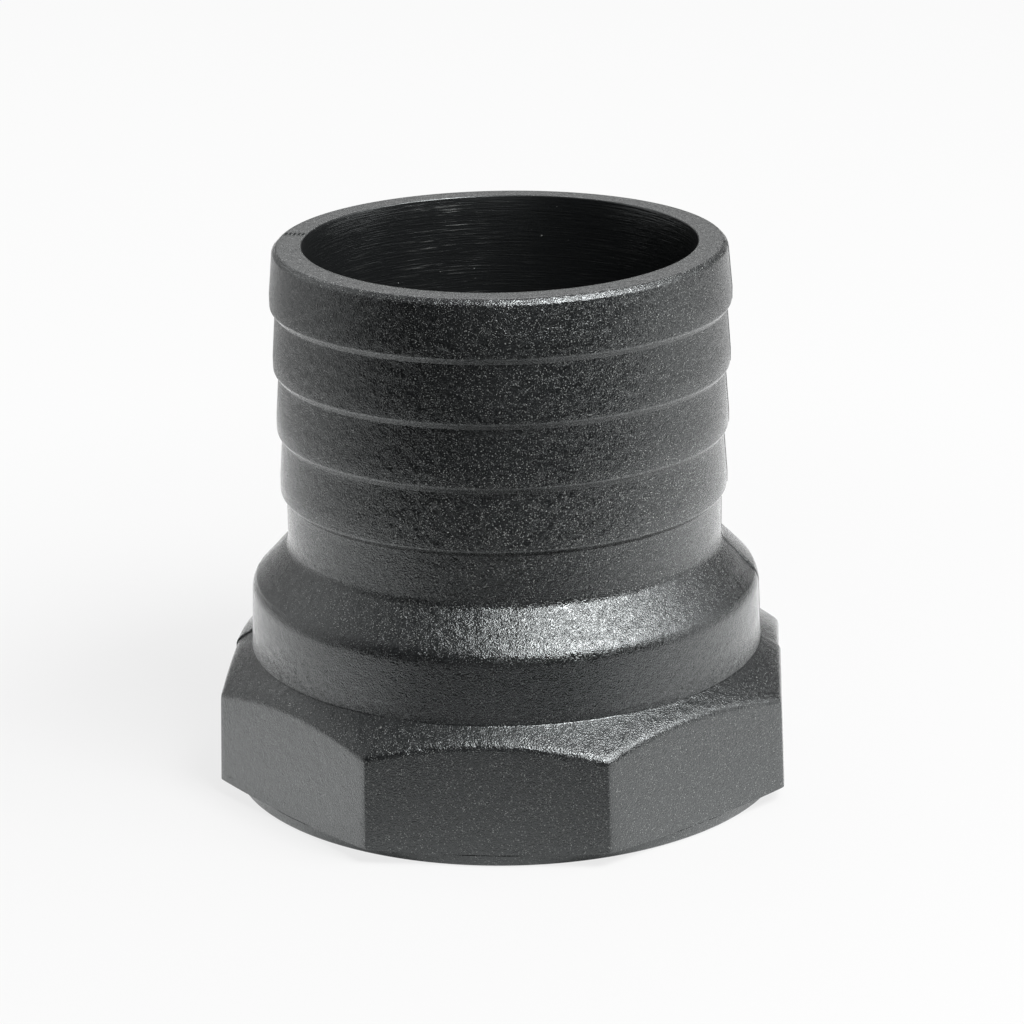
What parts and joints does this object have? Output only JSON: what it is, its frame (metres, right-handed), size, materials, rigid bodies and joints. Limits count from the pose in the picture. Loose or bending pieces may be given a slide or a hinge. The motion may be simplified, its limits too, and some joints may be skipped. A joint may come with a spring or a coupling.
{
  "type": "through-hull hose adapter",
  "caption": "Straight hose adapter: ribbed hose tail, sloped shoulder, round collar and octagonal spanner flange over a female threaded socket, moulded in one piece and open right through.",
  "frame": {"origin": "centre of the bottom face of the sealing ring, where the threaded socket opens", "axes": "+Z along the bore towards the hose end; +X and +Y through the middle of two neighbouring pairs of spanner flats"},
  "size_m": [0.0646, 0.0646, 0.062],
  "materials": {
    "moulded_plastic": "satin, finely grained, glass-filled"
  },
  "bodies": {
    "root": {"adapter_body": "moulded_plastic"}
  },
  "joints": []
}
